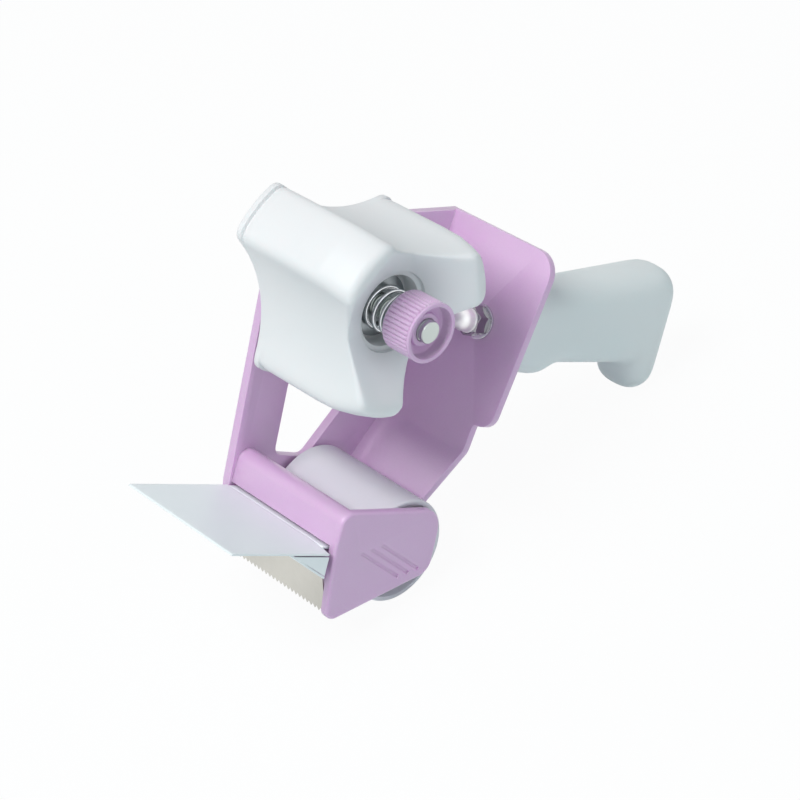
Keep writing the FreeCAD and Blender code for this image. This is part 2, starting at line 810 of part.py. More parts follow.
def make_knob():
    """A ribbed cup that opens away from the hub, with a webbed boss and a captive nut in its floor."""
    body = new_body("brake_knob")
    cup = new_sketch(body, "XY_Plane")
    bore = "axle_radius + running_gap"
    draw_outline(cup, [
        (bore, "-knob_far"),
        ("knob_radius", "-knob_far"),
        ("knob_radius", "-knob_near"),
        ("knob_radius - knob_wall", "-knob_near"),
        ("knob_radius - knob_wall", "-knob_floor"),
        ("knob_boss", "-knob_floor"),
        ("knob_boss", "-knob_boss_end"),
        (bore, "-knob_boss_end"),
    ])
    revolve(cup)
    web = new_sketch(body, "XZ_Plane", (0, 0, "knob_floor - 0.5"))
    draw_outline(web, [
        ("knob_boss - 0.5", "-web_thick / 2"),
        ("knob_radius - knob_wall + 0.5", "-web_thick / 2"),
        ("knob_radius - knob_wall + 0.5", "web_thick / 2"),
        ("knob_boss - 0.5", "web_thick / 2"),
    ])
    repeat_around(pad(web, "knob_boss_end - knob_floor"), 6)
    recess = new_sketch(body, "XZ_Plane", (0, 0, "knob_far"))
    draw_hexagon(recess, 0, 0, "axle_across + 2 * seat_gap")
    pocket(recess, "knob_nut_thick", backwards=True)
    rib = new_sketch(body, "XZ_Plane", (0, 0, "knob_far + edge_round"))
    draw_circle(rib, "knob_radius + rib_cutter - rib_depth", 0, "rib_cutter")
    repeat_around(pocket(rib, "knob_near", backwards=True), "rib_count")

    nut = new_body("knob_nut")
    section = new_sketch(nut, "XZ_Plane", (0, 0, "knob_far"))
    draw_hexagon(section, 0, 0, "axle_across")
    draw_circle(section, 0, 0, bore)
    pad(section, "knob_nut_thick")


# ---------------------------------------------------------------- grip
def make_grip():
    """A thick rounded paddle with a finger guard at the front and a hook at the end."""
    body = new_body("grip")
    corners = {
        "grip_crest_round": [("grip_crest_x", "grip_top_back")],
        "grip_end_round": [("grip_end_x", "grip_end_low"), ("grip_hook_x", "grip_end_low")],
        "grip_palm_round": [("grip_palm_back_x", "grip_palm_back_z")],
        "grip_root_round": [("grip_palm_front_x", "grip_palm_front_z"),
                            ("grip_root_x", "grip_root_low")],
        "grip_guard_round": [("grip_guard_back_x", "grip_guard_low"),
                             ("grip_guard_front_x", "grip_guard_low")],
    }
    side = new_sketch(body, "XZ_Plane", (0, 0, "grip_y"))
    draw_outline(side, [
        (BACK_OUT, "grip_top_front"),
        ("grip_crest_x", "grip_top_back"),
        ("grip_end_x", "grip_end_low"),
        ("grip_hook_x", "grip_end_low"),
        ("grip_palm_back_x", "grip_palm_back_z"),
        ("grip_palm_front_x", "grip_palm_front_z"),
        ("grip_guard_back_x", "grip_guard_low"),
        ("grip_guard_front_x", "grip_guard_low"),
        ("grip_root_x", "grip_root_low"),
        (BACK_OUT, "grip_root_low"),
    ])
    pad(side, "2 * grip_half_width", middle=True)
    for radius, places in corners.items():
        round_edges(body, radius, along_y_at(places))
    sides = [side * size("grip_half_width") - size("grip_y") for side in (-1, 1)]
    round_edges(body, "grip_edge_round", lambda edge: any(on_level("y", side)(edge) for side in sides)
                and edge.BoundBox.XMax > size("back_face") + size("back_thick") + 0.1)
    bore = new_sketch(body, "YZ_Plane", (0, 0, BACK_OUT))
    draw_circle(bore, "-grip_y", "grip_z", "bolt_radius + seat_gap")
    pocket(bore, "bolt_bury", backwards=True)


def make_grip_fastener():
    """A stud set in the grip, a washer on the back plate's inner face and a domed nut."""
    stud = new_body("grip_stud")
    shank = new_sketch(stud, "YZ_Plane", (0, 0, "back_face - bolt_washer_thick - nut_hex_height"))
    draw_circle(shank, "-grip_y", "grip_z", "bolt_radius")
    pad(shank, "bolt_washer_thick + nut_hex_height + back_thick + bolt_bury - free_gap")
    washer = new_body("grip_washer")
    seat = new_sketch(washer, "YZ_Plane", (0, 0, "back_face - bolt_washer_thick"))
    draw_circle(seat, "-grip_y", "grip_z", "bolt_washer_radius")
    draw_circle(seat, "-grip_y", "grip_z", "bolt_radius + seat_gap")
    pad(seat, "bolt_washer_thick")
    nut = new_body("grip_nut")
    face = "back_face - bolt_washer_thick"
    section = new_sketch(nut, "YZ_Plane", (0, 0, f"{face} - nut_hex_height"))
    draw_hexagon(section, "-grip_y", "grip_z", "bolt_across")
    pad(section, "nut_hex_height")
    dome = new_sketch(nut, "XZ_Plane", (0, "grip_z", "grip_y"))
    top = f"{face} - nut_hex_height - nut_dome_height"
    draw_outline(dome, [
        (f"{face} - nut_hex_height + 0.5", 0),
        (f"{face} - nut_hex_height + 0.5", "nut_dome_radius"),
        (top, "nut_dome_radius", "nut_dome_round"),
        (top, 0),
    ])
    revolve(dome, "H_Axis")
    hole = new_sketch(nut, "YZ_Plane", (0, 0, face))
    draw_circle(hole, "-grip_y", "grip_z", "bolt_radius + seat_gap")
    pocket(hole, "nut_hex_height")


# ---------------------------------------------------------------- the whole assembly
make_frame()
make_head_guard()
make_blade_carrier()
make_wiper_flap()
make_flap_prop()
make_screws()
make_roller()
make_hub()
make_hub_sleeve()
make_axle()
make_brake()
make_knob()
make_grip()
make_grip_fastener()
blade = make_blade()

for piece in pieces:
    if piece is not blade:
        tip_back(piece)
lean_blade(blade)
doc.recompute()

for item in doc.Objects:
    if {"Invalid", "Error"} & set(item.State):
        raise RuntimeError(f"{item.Name} is in the state {item.State}")
for piece in pieces:
    if piece.Shape.isNull() or not piece.Shape.isValid() or not piece.Shape.Solids:
        raise RuntimeError(f"{piece.Label} has no valid solid")

os.makedirs("parts", exist_ok=True)
for piece in pieces:
    piece.Shape.exportStep(f"parts/{piece.Label}.step")
print(f"{len(pieces)} pieces written")
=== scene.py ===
# %% [markdown]
# # A hand-held packing tape dispenser
#
# The measured model comes in first and is never moved: every finer piece is built round it, in
# metres and in the same frame. +Z is up with the tool standing on its roller and its grip, +X runs
# from the cutting end to the grip, and +Y along the tape axle, away from the knob.

# %% Load the measured model
import json
import math

import bmesh
import bpy
import numpy as np
from mathutils import Matrix, Vector


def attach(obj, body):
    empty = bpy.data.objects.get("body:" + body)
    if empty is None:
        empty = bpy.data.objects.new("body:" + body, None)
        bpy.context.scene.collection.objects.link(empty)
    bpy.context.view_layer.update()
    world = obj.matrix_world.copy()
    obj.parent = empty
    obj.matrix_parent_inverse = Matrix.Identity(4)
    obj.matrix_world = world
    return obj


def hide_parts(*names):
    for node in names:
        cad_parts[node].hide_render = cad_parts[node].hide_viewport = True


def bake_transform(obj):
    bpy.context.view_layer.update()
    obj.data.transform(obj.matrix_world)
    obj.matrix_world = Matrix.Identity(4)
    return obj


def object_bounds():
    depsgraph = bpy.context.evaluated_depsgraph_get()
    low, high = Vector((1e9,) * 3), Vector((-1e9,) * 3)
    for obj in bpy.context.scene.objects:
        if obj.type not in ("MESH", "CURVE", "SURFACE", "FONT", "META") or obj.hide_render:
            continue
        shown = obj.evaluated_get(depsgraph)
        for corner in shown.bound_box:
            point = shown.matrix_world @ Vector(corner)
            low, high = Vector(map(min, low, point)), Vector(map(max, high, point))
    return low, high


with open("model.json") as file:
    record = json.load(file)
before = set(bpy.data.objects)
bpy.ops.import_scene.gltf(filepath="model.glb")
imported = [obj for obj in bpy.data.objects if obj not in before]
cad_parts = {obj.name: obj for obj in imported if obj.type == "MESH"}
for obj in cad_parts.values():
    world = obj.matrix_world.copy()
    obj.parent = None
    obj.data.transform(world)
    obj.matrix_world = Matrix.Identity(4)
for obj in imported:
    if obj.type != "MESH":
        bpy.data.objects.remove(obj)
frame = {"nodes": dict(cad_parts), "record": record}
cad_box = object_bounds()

nodes = frame["nodes"]
entries = {entry["node"]: entry for entry in frame["record"]["subparts"]}
bodies = frame["record"]["behaviour"]["bodies"]
body_of = {node: body for body, members in bodies.items() for node in members}

# %% [markdown]
# The tool is easier to draw as it is held, with its back plate upright, than as it stands. So the
# pieces below are drawn in millimetres in that working frame, and one matrix tips them back on to the
# roller and turns millimetres into metres. A point on the axle's own line stays where it is.

# %% From the working frame to the standing one
MM = 0.001
REST_TILT = math.radians(35.85)
STAND = Matrix.Rotation(REST_TILT, 4, "Y") @ Matrix.Scale(MM, 4)
print("a point at the grip, (150, 0, 0), stands at", [round(v, 4) for v in STAND @ Vector((150, 0, 0))])

# %% [markdown]
# The camera comes before the pieces, so that every later look is judged from one place. A long lens
# stands well back, which keeps the two cheeks and the hub's ends nearly parallel. Blender's cameras
# look down their own -Z, so a track quaternion turns -Z along the aim, and a small roll about that
# line tips the picture.

# %% Camera
CAMERA_SPOT = (-0.4000, -0.5585, 0.4709)
CAMERA_AIM = (0.4832, 0.6228, -0.6153)
CAMERA_ROLL = math.radians(-8.2)

camera_data = bpy.data.cameras.new("camera")
camera_data.lens = 110
camera_data.clip_start = 0.05
camera = bpy.data.objects.new("camera", camera_data)
camera.matrix_world = (
    Matrix.Translation(CAMERA_SPOT)
    @ Vector(CAMERA_AIM).to_track_quat("-Z", "Y").to_matrix().to_4x4()
    @ Matrix.Rotation(CAMERA_ROLL, 4, "Z")
)
bpy.context.scene.collection.objects.link(camera)
bpy.context.scene.camera = camera
bpy.context.scene.view_settings.view_transform = "Standard"
print("camera at", CAMERA_SPOT, "lens", camera_data.lens)

# %% [markdown]
# Node trees are easier to read as Python than as a web of wires. `Signal` holds one output socket,
# and `+ - * /` on it add the Math nodes; the reflected forms let a plain number stand on the left, as
# in `1 - mask`. `Graph.node` adds any other node: its own settings first, because an operation or a
# data type can change which sockets there are, and then the values or links of its inputs. Shader
# trees and Geometry Nodes trees are both graphs, so both use it.

# %% Signals and graphs
class Signal:
    """One output socket of a node tree, with arithmetic."""

    def __init__(self, graph, socket):
        self.graph, self.socket = graph, socket

    def math(self, operation, other, swapped=False):
        first, second = (other, self) if swapped else (self, other)
        return self.graph.node("ShaderNodeMath", {"operation": operation}, {0: first, 1: second})

    def __add__(self, other):
        return self.math("ADD", other)

    def __sub__(self, other):
        return self.math("SUBTRACT", other)

    def __rsub__(self, other):
        return self.math("SUBTRACT", other, swapped=True)

    def __mul__(self, other):
        return self.math("MULTIPLY", other)

    def __truediv__(self, other):
        return self.math("DIVIDE", other)

    def __rtruediv__(self, other):
        return self.math("DIVIDE", other, swapped=True)

    __radd__, __rmul__ = __add__, __mul__


class Graph:
    """A node tree under construction."""

    def __init__(self, tree):
        self.tree = tree

    def plug(self, socket, value):
        if isinstance(value, Signal):
            self.tree.links.new(value.socket, socket)
        elif isinstance(value, tuple) and len(value) == 3 and socket.type == "RGBA":
            socket.default_value = (*value, 1)
        else:
            socket.default_value = value

    def node(self, kind, settings=None, inputs=None, output=0):
        made = self.tree.nodes.new(kind)
        for name, value in (settings or {}).items():
            setattr(made, name, value)
        for key, value in (inputs or {}).items():
            self.plug(made.inputs[key], value)
        return Signal(self, made.outputs[output])


print("graphs ready")

# %% [markdown]
# `Finish` is a graph that ends in the main shader. Its patterns read Object coordinates, which are
# metres here, so a noise scale counts blobs per metre: 1500 is a moulded skin's grain and 9 a slow
# drift across the whole tool. `coat` sets the constants and links of the shader's own sockets.

# %% Finishes
class Finish(Graph):
    """A material under construction."""

    def __init__(self, name):
        self.material = bpy.data.materials.new(name)
        self.material.use_nodes = True
        super().__init__(self.material.node_tree)
        self.tree.nodes.clear()
        self.shader = self.tree.nodes.new("ShaderNodeBsdfPrincipled")
        self.output = self.tree.nodes.new("ShaderNodeOutputMaterial")
        self.tree.links.new(self.shader.outputs[0], self.output.inputs["Surface"])
        self.place = self.node("ShaderNodeTexCoord", output="Object")

    def noise(self, scale, detail=2.0, roughness=0.5, stretch=None):
        """Cloudy values about 0.5, from 0 to 1."""
        place = self.place
        if stretch:
            place = self.node("ShaderNodeMapping", {}, {"Vector": place, "Scale": stretch})
        return self.node("ShaderNodeTexNoise", {}, {
            "Vector": place, "Scale": scale, "Detail": detail, "Roughness": roughness})

    def spread(self, value, low, high, start=0.0, end=1.0):
        """Stretch a value from low..high to start..end, and stop at the ends."""
        return self.node("ShaderNodeMapRange", {}, {
            "Value": value, "From Min": low, "From Max": high, "To Min": start, "To Max": end})

    def blend(self, factor, first, second):
        """Mix two colours."""
        return self.node("ShaderNodeMix", {"data_type": "RGBA"}, {0: factor, 6: first, 7: second}, output=2)

    def bump(self, height, strength, distance):
        return self.node("ShaderNodeBump", {}, {"Height": height, "Strength": strength, "Distance": distance})

    def coat(self, **sockets):
        for name, value in sockets.items():
            self.plug(self.shader.inputs[name.replace("_", " ")], value)
        return self.material


materials = {}
print("finishes ready")

# %% [markdown]
# The lilac parts are injection-moulded. Such plastic is one colour all through, but it is not flat
# to the eye: the mould's spark-eroded skin gives a fine grain that breaks up the highlight, the
# colour drifts a little where the melt flowed, and rubbing polishes broad patches. So the colour
# follows a slow noise, the roughness and the coat a middling one, and the bump a fine one. The coat
# adds the broad, pale sheen of a satin moulding, and a little light is let into the wall, which
# softens the shade in the corners.

# %% Lilac plastic
def lilac_plastic(name, light=(0.69, 0.455, 0.69), deep=(0.63, 0.40, 0.64), shine=0.44, grain=0.16):
    """A satin moulding: light and deep are the two ends of its drift in colour."""
    finish = Finish(name)
    flow = finish.noise(9, detail=3, roughness=0.6)
    skin = finish.noise(1500, detail=3, roughness=0.65)
    wear = finish.noise(38, detail=4, roughness=0.6)
    speckle = finish.spread(skin, 0.35, 0.7)
    colour = finish.blend(finish.spread(flow, 0.3, 0.7), deep, light)
    colour = finish.blend(speckle * 0.10, colour, (0.80, 0.64, 0.84))
    rough = finish.spread(wear, 0.3, 0.7, shine - 0.05, shine + 0.07) + speckle * 0.05
    return finish.coat(
        Base_Color=colour, Roughness=rough, Normal=finish.bump(skin, grain, 0.0004),
        IOR=1.5, Specular_IOR_Level=0.75,
        Coat_Weight=finish.spread(wear, 0.3, 0.7, 0.6, 0.9), Coat_Roughness=0.36,
        Subsurface_Weight=0.3, Subsurface_Radius=(1.0, 0.45, 0.9), Subsurface_Scale=0.003)


materials["lilac_plastic"] = lilac_plastic("lilac_plastic")
print("lilac plastic made")

# %% [markdown]
# The hub, the roller's cover and the grip are pale plastics of three tints, from a cool white to the
# grip's grey-green. A pale wall shows its shade more by tint than by darkness, so each finish drifts
# between a shade and a deeper one, and its roughness varies a little from place to place.

# %% White, roller and grip plastics
def pale_plastic(name, shade, deep, shine):
    """A pale moulded plastic: deep is the tint of its thicker, shadier flow."""
    finish = Finish(name)
    flow = finish.noise(7, detail=3, roughness=0.55)
    skin = finish.noise(900, detail=3, roughness=0.6)
    wear = finish.noise(30, detail=4, roughness=0.6)
    colour = finish.blend(finish.spread(flow, 0.35, 0.75), shade, deep)
    rough = finish.spread(wear, 0.3, 0.7, shine - 0.04, shine + 0.08) + finish.spread(skin, 0.3, 0.7) * 0.04
    return finish.coat(
        Base_Color=colour, Roughness=rough, Normal=finish.bump(skin, 0.03, 0.0003), IOR=1.46,
        Subsurface_Weight=0.3, Subsurface_Radius=(0.8, 1.0, 1.0), Subsurface_Scale=0.004)


for name, shade, deep, shine in (
    ("white_plastic", (0.83, 0.825, 0.825), (0.78, 0.80, 0.805), 0.42),
    ("roller_cover", (0.73, 0.715, 0.76), (0.67, 0.66, 0.71), 0.34),
    ("grip_plastic", (0.83, 0.85, 0.84), (0.77, 0.85, 0.85), 0.45),
):
    materials[name] = pale_plastic(name, shade, deep, shine)
print("pale plastics made")

# %% [markdown]
# Metal takes its colour from what it mirrors, so its base colour is only a tint, and the haze in its
# roughness does most of the work: bright plating stays near mirror-like. The brake disc and its thrust
# washer, deep in the hub's well, get a darker and hazier finish, and their dark base colour is painted
# shade for that recess. The flap is a milky polyethylene sheet, so it hides what lies under it, and its
# gloss comes and goes where handling has clouded it.

# %% Metals and the milky strip
def plated_metal(name, shade, rough, streak=(1, 1, 1)):
    """A metal whose haze is drawn out by streak, as rolling and grinding leave it."""
    finish = Finish(name)
    haze = finish.noise(220, detail=4, roughness=0.65, stretch=streak)
    drift = finish.noise(45, detail=2)
    colour = finish.blend(finish.spread(drift, 0.3, 0.7), shade, tuple(v * 0.86 for v in shade))
    return finish.coat(
        Base_Color=colour, Metallic=1.0, Roughness=finish.spread(haze, 0.3, 0.75, rough, rough + 0.14),
        Normal=finish.bump(haze, 0.05, 0.0002))


for name, shade, rough in (
    ("bright_plating", (0.80, 0.82, 0.84), 0.12),
    # a darker base colour: painted shade for the recess of the hub's well, where the brake disc lies
    ("dulled_plating", (0.34, 0.37, 0.39), 0.30),
    # the cap nut's dome: a near-white base colour that is a painted highlight
    ("pearl_plating", (0.99, 0.99, 0.99), 0.46),
    # the cap nut's hexagon, the same piece of plating: a dark base colour that is painted shade
    ("dark_plating", (0.36, 0.35, 0.38), 0.10),
    ("axle_steel", (0.62, 0.68, 0.66), 0.28),
    ("sleeve_bronze", (0.60, 0.42, 0.24), 0.35),
):
    materials[name] = plated_metal(name, shade, rough)
materials["blade_steel"] = plated_metal("blade_steel", (0.66, 0.65, 0.60), 0.30, streak=(0.3, 3, 3))


def clear_strip(name):
    """A milky sheet with a clouded gloss."""
    finish = Finish(name)
    cloud = finish.noise(25, detail=4, roughness=0.6)
    skin = finish.noise(700, detail=2)
    colour = finish.blend(finish.spread(cloud, 0.3, 0.75), (0.90, 0.94, 0.945), (0.86, 0.92, 0.925))
    return finish.coat(
        Base_Color=colour, Roughness=finish.spread(cloud, 0.3, 0.7, 0.36, 0.44),
        Normal=finish.bump(skin, 0.01, 0.0001), IOR=1.45)


materials["clear_strip"] = clear_strip("clear_strip")
print(len(materials), "finishes")

# %% [markdown]
# The measured nodes get these finishes too, each by the slot that its record names, so that nothing is
# bare where no finer piece covers it.

# %% Finishes on the measured nodes
for node, entry in entries.items():
    nodes[node].data.materials.clear()
    nodes[node].data.materials.append(materials[entry["material_slot"]])
print(len(entries), "measured nodes finished")

# %% [markdown]
# Every new piece ends the same way: its mesh is tipped into the standing frame, its faces are shaded
# smooth up to a given crease, and it is set on the body of the node that it stands for.

# %% Setting a piece in place
def add_piece(name, mesh, node, finish=None, crease=35, replace=True, drawn_upright=True):
    """Turn a finished mesh into a piece that rides where the measured node does."""
    slot = entries[node]["material_slot"]
    if drawn_upright:
        mesh.transform(STAND)
    mesh.name = name
    mesh.materials.clear()
    mesh.materials.append(materials[finish or slot])
    mesh.shade_smooth()
    mesh.set_sharp_from_angle(angle=math.radians(crease))
    piece = bpy.data.objects.new(name, mesh)
    bpy.context.scene.collection.objects.link(piece)
    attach(piece, body_of[node])
    if replace:
        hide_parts(node)
    print(name, len(mesh.polygons), "faces")
    return piece


def evaluated_mesh(holder):
    """The mesh that a holder's modifiers make, as a plain mesh."""
    depsgraph = bpy.context.evaluated_depsgraph_get()
    return bpy.data.meshes.new_from_object(holder.evaluated_get(depsgraph))


def finished_mesh(mesh, *modifiers):
    """Give a mesh some modifiers, each a type and its settings, and return the result as a plain mesh."""
    holder = bpy.data.objects.new("holder", mesh)
    bpy.context.scene.collection.objects.link(holder)
    for kind, settings in modifiers:
        modifier = holder.modifiers.new(kind.lower(), kind)
        for key, value in settings.items():
            setattr(modifier, key, value)
    ready = evaluated_mesh(holder)
    bpy.data.objects.remove(holder)
    return ready


print("ready to place pieces")

# %% [markdown]
# Most moulded walls already have their true shape in the measured model, but its faces come as loose
# triangles. Welding the corners and dissolving the flat triangles into whole faces gives a clean
# copy, and a narrow two-step bevel on its sharp edges catches a line of light, as every moulded or
# turned edge does.

# %% Dressed copies
WELD, FLAT, SHARP = 2e-6, math.radians(0.4), math.radians(35)


def dressed(node, edge, finish=None):
    """A welded copy of a measured node with softened edges. Edge is the bevel's width in millimetres."""
    mesh = nodes[node].data.copy()
    work = bmesh.new()
    work.from_mesh(mesh)
    bmesh.ops.remove_doubles(work, verts=work.verts, dist=WELD)
    bmesh.ops.dissolve_limit(work, angle_limit=FLAT, verts=work.verts, edges=work.edges)
    work.to_mesh(mesh)
    work.free()
    if "custom_normal" in mesh.attributes:
        mesh.attributes.remove(mesh.attributes["custom_normal"])
    mesh = finished_mesh(mesh, ("BEVEL", {
        "width": edge * MM, "segments": 2, "limit_method": "ANGLE", "angle_limit": SHARP,
        "use_clamp_overlap": True, "harden_normals": False}))
    return add_piece(f"{node}_skin", mesh, node, finish=finish, drawn_upright=False)


MOULDED_EDGE, TUBE_EDGE, PRESSED_EDGE, WASHER_EDGE = 0.3, 0.35, 0.2, 0.18
for node in ("frame", "head_guard", "blade_carrier", "roller_bush_near", "roller_bush_far", "roller_pin",
             "grip_stud", "head_screws"):
    dressed(node, MOULDED_EDGE)
for node in ("roller_clip", "hub_sleeve", "axle_washer", "grip_washer"):
    dressed(node, PRESSED_EDGE)
# the brake disc and thrust washer lie in the hub's well: their darker finish is painted shade there
for node in ("brake_disc", "thrust_washer"):
    dressed(node, WASHER_EDGE, finish="dulled_plating")
dressed("roller_tube", TUBE_EDGE)

# %% [markdown]
# The hub's shape follows a rule: a turned blank, with three round hollows cut down its sides, and
# every edge between them softened. A rule like that is a distance function. `hub_depth` says how far
# outside the blank and its hollows a point lies, with a smooth maximum where two surfaces meet, and
# rays sent out from inside the hub are halved until they end on its skin.

# %% The hub's rule
LOBE = math.radians(153)
# each valley between lobes: its turn from the first lobe, and the radius of its floor
VALLEYS = [(60, 21.3), (180, 18.0), (300, 21.3)]
VALLEY_RADIUS = 50
VALLEY_EDGE = 3.6
# the end of each lobe, from the tape's cylinder round to the dish: radius and distance along the axle
LOBE_END = [(38.8, 3.0), (38.8, 5.15), (37.45, 5.3), (37.5, 6.0), (37.85, 7.2), (38.0, 8.4),
            (38.0, 34.0), (37.55, 42.0), (36.1, 48.5), (33.7, 56.0)]
HUB_END = 56.0
# the dish starts at the collar and climbs outwards, least towards the valleys
DISH_RADIUS, DISH_FLOOR = 14.6, 46.1
DISH_SLOPE, LOBE_SLOPE, SLOPE_FALL = 0.2, 0.48, 0.6


def soft_max(a, b, reach):
    """The larger of two distances, rounded over the given reach where they are nearly equal."""
    near = np.clip(0.5 + 0.5 * (a - b) / reach, 0, 1)
    return b + (a - b) * near + reach * near * (1 - near)


def hub_depth(x, z, along):
    """How far a point lies outside the hub's outer skin, in millimetres."""
    radius = np.hypot(x, z)
    wall = radius - np.interp(along, [p[1] for p in LOBE_END], [p[0] for p in LOBE_END])
    for turn, floor in VALLEYS:
        angle = LOBE - math.radians(turn)
        centre = floor + VALLEY_RADIUS
        hollow = VALLEY_RADIUS - np.hypot(x - centre * math.cos(angle), z - centre * math.sin(angle))
        wall = soft_max(wall, hollow, VALLEY_EDGE)
    on_lobe = 0.5 + 0.5 * np.cos(3 * (np.arctan2(z, x) - LOBE))
    slope = DISH_SLOPE + LOBE_SLOPE * on_lobe ** SLOPE_FALL
    dish = (along - DISH_FLOOR - np.maximum(radius - DISH_RADIUS, 0) * slope) / np.sqrt(1 + slope ** 2)
    end = soft_max(dish, along - HUB_END, 0.5)
    # the rim is crisp near the middle and rounder on the lobes
    return soft_max(wall, end, np.interp(radius, [22, 31], [0.9, 2.6]))


print("10 mm from the axle line the hub is", round(-float(hub_depth(10.0, 0.0, 20.0)), 2), "mm deep")

# %% [markdown]
# The skin is then sampled in rings. From the far face to the knob's end each ring holds 216 points,
# found by marching outwards from the axle, and over the dish the rays fan out from a point inside
# the wall, so the rings crowd where the surface bends. The bore and the collar are plain circles.

# %% Rings round the hub
ROUND = 216
AXLE_BORE, SLEEVE_BORE, WELL, COLLAR = 6.52, 9.6, 12.5, 14.4
FAR_FACE, WELL_FLOOR = 3.0, 38.0
# distances along the axle at which the lip by the far face needs close rings
LIP = [8.4, 7.8, 7.2, 6.6, 6.0, 5.6, 5.35, 5.25, 5.18, 5.1, 4.9, 3.7, 3.3, 3.05]


def skin_point(angle, start, direction, far=60):
    """March from a start inside the hub, (radius, along), and halve until the skin is found."""
    low, high = np.zeros(len(angle)), np.full(len(angle), float(far))
    for _ in range(40):
        middle = (low + high) / 2
        radius, along = start[0] + middle * direction[0], start[1] + middle * direction[1]
        outside = hub_depth(radius * np.cos(angle), radius * np.sin(angle), along) > 0
        low, high = np.where(outside, low, middle), np.where(outside, middle, high)
    return start[0] + low * direction[0], start[1] + low * direction[1]


def hub_rings():
    """Rings of points round the axle, from the well's floor out over the dish and back to the far end."""
    angle = np.linspace(0, 2 * math.pi, ROUND, endpoint=False)
    flat = np.ones(ROUND)
    well = [(AXLE_BORE, WELL_FLOOR), (12.2, WELL_FLOOR), (WELL, 38.3), (WELL, 44.3), (12.7, 44.55),
            (14.15, 44.65), (COLLAR, 44.9)]
    rings = [(r * flat, along * flat) for r, along in well]
    # the fan over the collar, the dish and the lobes' shoulders
    for step in np.linspace(0, 1, 96):
        aim = math.radians(90 * (1 - step))
        rings.append(skin_point(angle, (14.5, 43.0), (math.cos(aim), math.sin(aim))))
    for along in np.concatenate([np.linspace(42, 9, 30), LIP]):
        rings.append(skin_point(angle, (0.0, float(along)), (1.0, 0.0)))
    outer = skin_point(angle, (0.0, 3.1), (1.0, 0.0))[0]
    for share in (0.3, 0.65):
        rings.append((outer + (15 - outer) * share, FAR_FACE * flat))
    # the far end: a ring-shaped hollow, the sleeve's bore, and the step down to the axle's
    for r, along in [(COLLAR, FAR_FACE), (14.2, 3.2), (14.2, 34), (10.2, 34), (10.2, 3.2), (10.0, FAR_FACE),
                     (9.8, FAR_FACE), (SLEEVE_BORE, 3.2), (SLEEVE_BORE, 7.6), (AXLE_BORE, 7.6)]:
        rings.append((r * flat, along * flat))
    return [np.stack([r * np.cos(angle), -along * flat, r * np.sin(angle)], 1) for r, along in rings]


hub_skin = hub_rings()
print(len(hub_skin), "rings of", ROUND, "points")

# %% [markdown]
# Four-sided faces between neighbouring rings close the skin, and the last ring joins the first, so
# the wall has an outside and a bore in one piece. Which way the faces point follows from the order
# of the rings, so their normals are worked out again for the closed shape.

# %% The hub
def closed_mesh(name, points, faces):
    """A mesh from points and faces, with all faces turned outwards."""
    mesh = bpy.data.meshes.new(name)
    mesh.from_pydata(points, [], faces)
    work = bmesh.new()
    work.from_mesh(mesh)
    bmesh.ops.recalc_face_normals(work, faces=work.faces)
    work.to_mesh(mesh)
    work.free()
    return mesh


def mesh_from_rings(name, rings):
    """A closed skin of four-sided faces through rings of points; the last ring meets the first."""
    count = len(rings[0])
    faces = []
    for i in range(len(rings)):
        here, there = i * count, (i + 1) % len(rings) * count
        faces += [(here + k, there + k, there + (k + 1) % count, here + (k + 1) % count)
                  for k in range(count)]
    return closed_mesh(name, np.concatenate(rings).tolist(), faces)


add_piece("hub_shell", mesh_from_rings("hub_shell", hub_skin), "hub", crease=40)

# %% [markdown]
# Turned and hexagonal metal is the same idea with fewer rings. A nut or a bolt head starts as a
# turned outline, and its radius is then held inside the hexagon and inside the shallow cone that the
# lathe leaves on the corners, which gives the curved chamfer lines of a real nut.

# %% Turning
# the lathe's cone meets the hexagon's end face at this share of the flats, and falls at 30 degrees
CONE_START, CONE_FALL = 0.475, 1.73


def turned_mesh(outline, flats=None, cone=(), around=96, axis="y", centre=(0, 0)):
    """A closed turned skin through (radius, along) pairs. Flats is the size across a hexagon, and each
    pair in cone is an end face and the way inwards from it, where the corners are chamfered back."""
    angle = np.linspace(0, 2 * math.pi, around, endpoint=False)
    limit = np.full(around, 1e3)
    if flats:
        limit = flats / 2 / np.cos((angle + math.pi / 6) % (math.pi / 3) - math.pi / 6)
    rings = []
    for radius, along in outline:
        held = np.minimum(radius, limit)
        for face, inward in cone:
            if radius > flats * CONE_START:
                held = np.minimum(held, flats * CONE_START + (along - face) * inward * CONE_FALL)
        a, b, level = held * np.cos(angle), held * np.sin(angle), np.full(around, along)
        if axis == "y":
            rings.append(np.stack((a + centre[0], level, b + centre[1]), 1))
        else:
            rings.append(np.stack((level, a + centre[0], b + centre[1]), 1))
    return mesh_from_rings("turned", rings)


print("ready to turn")

# %% [markdown]
# Two nuts sit on the axle. One clamps it to the far cheek, inside the end of the hub, and the other
# is held in a recess of the knob, where it makes the knob's turning into travel. They are one outline
# at two places, with its rings close together where the chamfer bends it.

# %% The axle's nut and the knob's nut
M8_FLATS, ROUNDED = 13, 0.3


def nut_outline(bore, near, far, flats):
    """A bored hexagon's outline from its near face to its far one."""
    shares = np.array([0, 0.02, 0.06, 0.11, 0.17, 0.24, 0.5, 0.76, 0.83, 0.89, 0.94, 0.98, 1])
    inward = ROUNDED * np.sign(far - near)
    return ([(bore + ROUNDED, near), (flats * 0.45, near)]
            + [(flats * 0.6, v) for v in near + (far - near) * shares]
            + [(flats * 0.45, far), (bore + ROUNDED, far), (bore, far - inward), (bore, near + inward)])


for name, node, bore, near, far in (("axle_nut_hex", "axle_nut", 4.02, -1.0, -6.0),
                                    ("knob_nut_hex", "knob_nut", 4.06, -51.95, -56.9)):
    outline = nut_outline(bore, near, far, M8_FLATS)
    add_piece(name, turned_mesh(outline, M8_FLATS, ((near, -1), (far, 1))), node, crease=28)

